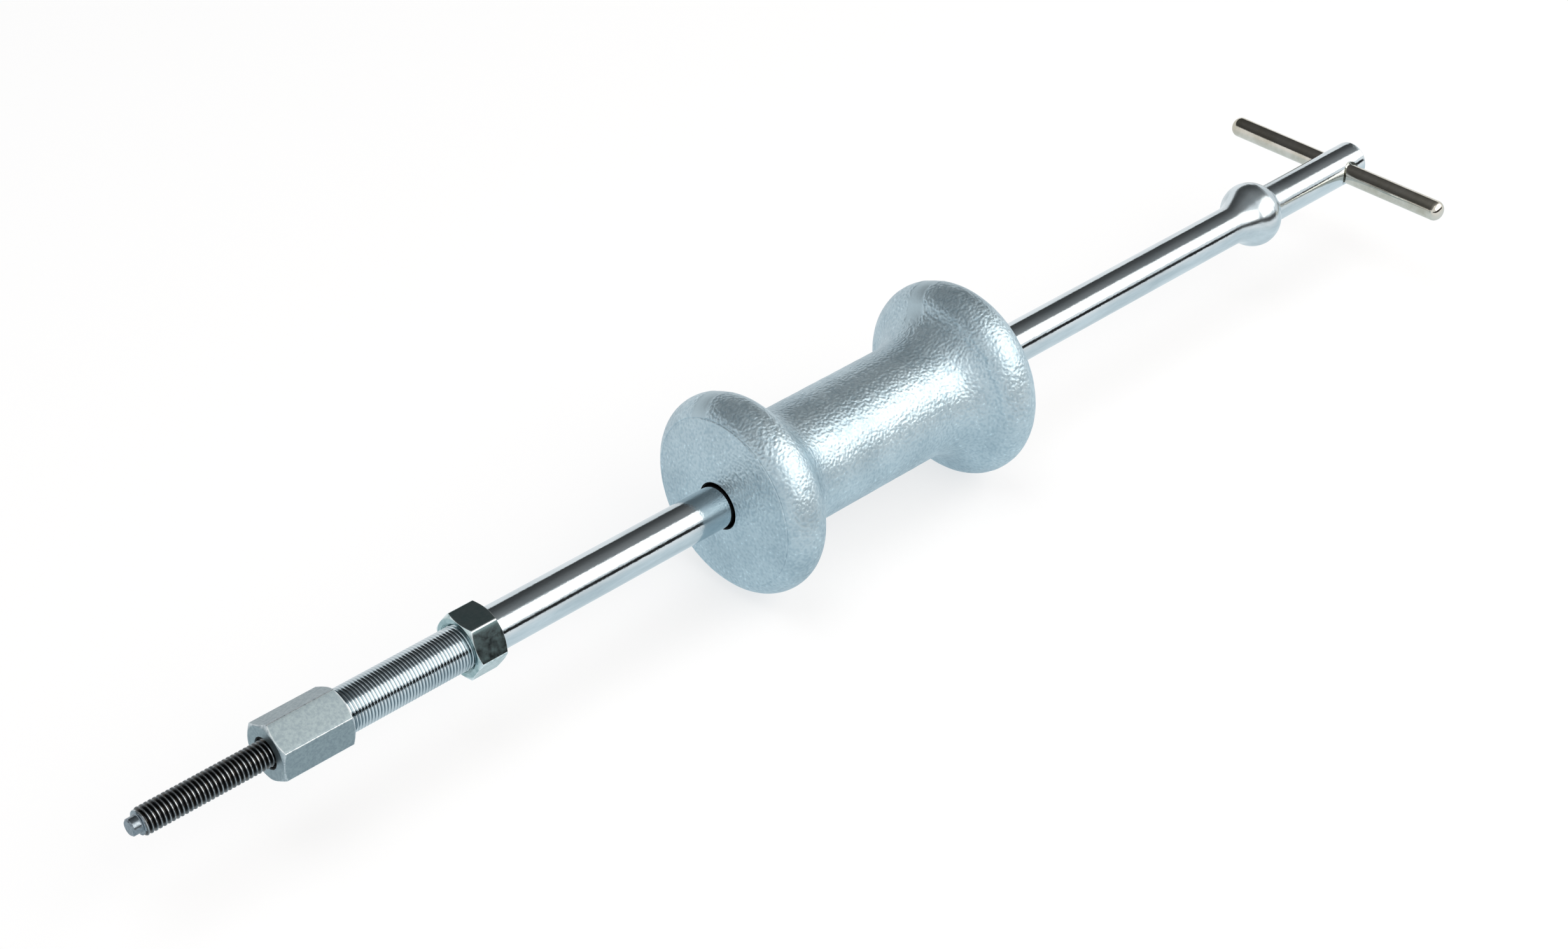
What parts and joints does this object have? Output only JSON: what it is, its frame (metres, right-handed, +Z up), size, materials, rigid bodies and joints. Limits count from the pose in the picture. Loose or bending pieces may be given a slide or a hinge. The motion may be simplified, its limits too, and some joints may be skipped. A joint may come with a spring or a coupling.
{
  "type": "slide hammer puller",
  "caption": "Straight bar with a sliding spool weight, forged stop collar, cross bar, lock nut, hex adapter and threaded draw stud.",
  "frame": {"origin": "middle of the tool's length and width, on the floor under the weight's two flanges", "axes": "+X along the bar from the draw stud to the cross bar, +Y along the cross bar, +Z up"},
  "size_m": [0.6062, 0.107, 0.0762],
  "materials": {
    "polished_bar": "polished chrome plate on steel",
    "plated_cross_bar": "bright nickel plate on steel",
    "silver_paint": "silver paint over a coarse casting skin",
    "zinc_plate": "bright zinc plate on a machined nut",
    "dull_steel": "dull satin drawn hexagon steel",
    "oiled_black_steel": "black oxide, bright on the thread crests"
  },
  "bodies": {
    "bar": {"puller_rod": "polished_bar", "tommy_bar": "plated_cross_bar"},
    "weight": {"slide_weight": "silver_paint"},
    "nut": {"lock_nut": "zinc_plate"},
    "adapter": {"hex_adapter": "dull_steel"},
    "stud": {"draw_stud": "oiled_black_steel"}
  },
  "joints": [
    {"name": "weight_slide", "type": "slide", "parent": "bar", "child": "weight", "axis": [1, 0, 0], "range_m": [-0.1037, 0.1549]},
    {"name": "nut_travel", "type": "slide", "parent": "bar", "child": "nut", "axis": [-1, 0, 0], "range_m": [0, 0.0486]},
    {"name": "adapter_off", "type": "slide", "parent": "bar", "child": "adapter", "axis": [-1, 0, 0], "range_m": [0, 0.02]},
    {"name": "stud_out", "type": "slide", "parent": "adapter", "child": "stud", "axis": [-1, 0, 0], "range_m": [0, 0.018]}
  ]
}
